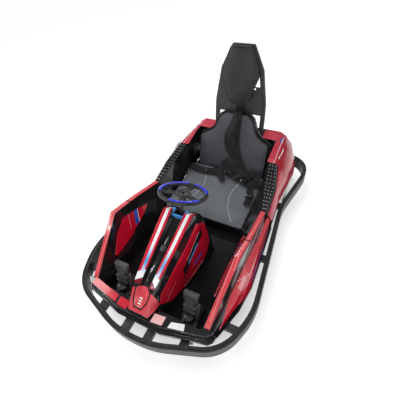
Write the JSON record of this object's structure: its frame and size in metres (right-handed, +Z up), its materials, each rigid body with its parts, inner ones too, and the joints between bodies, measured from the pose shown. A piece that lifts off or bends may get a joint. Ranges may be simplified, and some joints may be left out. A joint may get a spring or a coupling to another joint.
{
  "type": "drift kart",
  "caption": "Low one-seat drift kart: moulded black and red body in a wraparound rubber bumper, ridged console with steering wheel, bucket seat, tall headrest, steered front wheels.",
  "frame": {"origin": "on the floor, at the middle of the bumper's length and width", "axes": "+Z up, -Y the way it drives forward, +X the driver's left"},
  "size_m": [1.0774, 1.66, 1.0057],
  "materials": {
    "frame_steel": "satin black paint",
    "bumper_rubber": "satin moulded rubber",
    "body_black": "high gloss",
    "panel_red": "gloss",
    "panel_white": "gloss",
    "pan_black": "satin",
    "pedal_grey": "satin",
    "seat_vinyl": "fine grained vinyl",
    "webbing": "woven",
    "buckle_black": "satin",
    "headrest_steel": "textured powder coat",
    "grip_black": "satin",
    "light_blue": "gloss lens",
    "steel_bare": "zinc plated",
    "tyre_black": "hard smooth",
    "rim_grey": "cast",
    "battery_case": "matt"
  },
  "bodies": {
    "chassis": {"bumper_ring": "bumper_rubber", "frame_rails": "frame_steel", "frame_crosses": "frame_steel", "frame_outriggers": "frame_steel", "front_yokes": "frame_steel", "bumper_stubs": "frame_steel", "side_pod_left": "body_black", "side_pod_right": "body_black", "rail_caps": "panel_red", "pod_inner_panels": "panel_red", "pod_outer_panels": "panel_red", "front_lip": "body_black", "lip_inlays_red": "panel_red", "lip_inlay_white": "panel_white", "floor_pan": "pan_black", "console": "body_black", "console_ridges": "panel_red", "console_panels": "panel_red", "nose_badge": "panel_red", "nose_trim": "panel_red", "deck_panels": "panel_red", "pedal_throttle": "pedal_grey", "pedal_brake": "pedal_grey", "seat_arm_left": "body_black", "seat_arm_right": "body_black", "rear_fender_left": "panel_red", "rear_fender_right": "panel_red", "seat_pan": "pan_black", "seat_cushion": "seat_vinyl", "seat_back_pad": "seat_vinyl", "seat_back_shell": "body_black", "harness_shoulder": "webbing", "harness_lap": "webbing", "harness_buckle": "buckle_black", "headrest_frame": "headrest_steel", "headrest_plate": "headrest_steel", "headrest_pad": "seat_vinyl", "rear_deck": "body_black", "rear_axle": "frame_steel", "drive_motor": "rim_grey", "battery_pack": "battery_case"},
    "steering": {"steering_wheel": "grip_black", "wheel_lights": "light_blue", "steering_column": "steel_bare"},
    "steering_arm": {"steering_arm": "steel_bare"},
    "track_rod": {"track_rod": "steel_bare"},
    "knuckle_left": {"knuckle_left": "steel_bare"},
    "knuckle_right": {"knuckle_right": "steel_bare"},
    "wheel_front_left": {"tyre_front_left": "tyre_black", "rim_front_left": "rim_grey"},
    "wheel_front_right": {"tyre_front_right": "tyre_black", "rim_front_right": "rim_grey"},
    "wheel_rear_left": {"tyre_rear_left": "tyre_black", "rim_rear_left": "rim_grey"},
    "wheel_rear_right": {"tyre_rear_right": "tyre_black", "rim_rear_right": "rim_grey"}
  },
  "joints": [
    {"name": "steering", "type": "hinge", "parent": "chassis", "child": "steering", "pos_m": [0, -0.129, 0.571], "axis": [0, 0.4147, 0.9099], "range_deg": [-30, 30]},
    {"name": "lower_shaft", "type": "hinge", "parent": "chassis", "child": "steering_arm", "pos_m": [0, -0.33, 0.05], "axis": [0, 0, 1], "range_deg": [-30, 30]},
    {"name": "track_rod_pivot", "type": "hinge", "parent": "steering_arm", "child": "track_rod", "pos_m": [0, -0.25, 0.057], "axis": [0, 0, 1], "range_deg": [-30, 30]},
    {"name": "kingpin_left", "type": "hinge", "parent": "chassis", "child": "knuckle_left", "pos_m": [0.345, -0.33, 0.1], "axis": [0, 0, 1], "range_deg": [-30, 30]},
    {"name": "kingpin_right", "type": "hinge", "parent": "chassis", "child": "knuckle_right", "pos_m": [-0.345, -0.33, 0.1], "axis": [0, 0, 1], "range_deg": [-30, 30]},
    {"name": "spin_front_left", "type": "hinge", "parent": "knuckle_left", "child": "wheel_front_left", "pos_m": [0.4, -0.33, 0.1], "axis": [1, 0, 0], "continuous": true},
    {"name": "spin_front_right", "type": "hinge", "parent": "knuckle_right", "child": "wheel_front_right", "pos_m": [-0.4, -0.33, 0.1], "axis": [1, 0, 0], "continuous": true},
    {"name": "spin_rear_left", "type": "hinge", "parent": "chassis", "child": "wheel_rear_left", "pos_m": [0.395, 0.56, 0.1], "axis": [1, 0, 0], "continuous": true},
    {"name": "spin_rear_right", "type": "hinge", "parent": "chassis", "child": "wheel_rear_right", "pos_m": [-0.395, 0.56, 0.1], "axis": [1, 0, 0], "continuous": true}
  ],
  "couplings": [
    {"joint": "lower_shaft", "follows": "steering", "ratio": 1},
    {"joint": "track_rod_pivot", "follows": "steering", "ratio": -1},
    {"joint": "kingpin_left", "follows": "steering", "ratio": 1},
    {"joint": "kingpin_right", "follows": "steering", "ratio": 1}
  ]
}
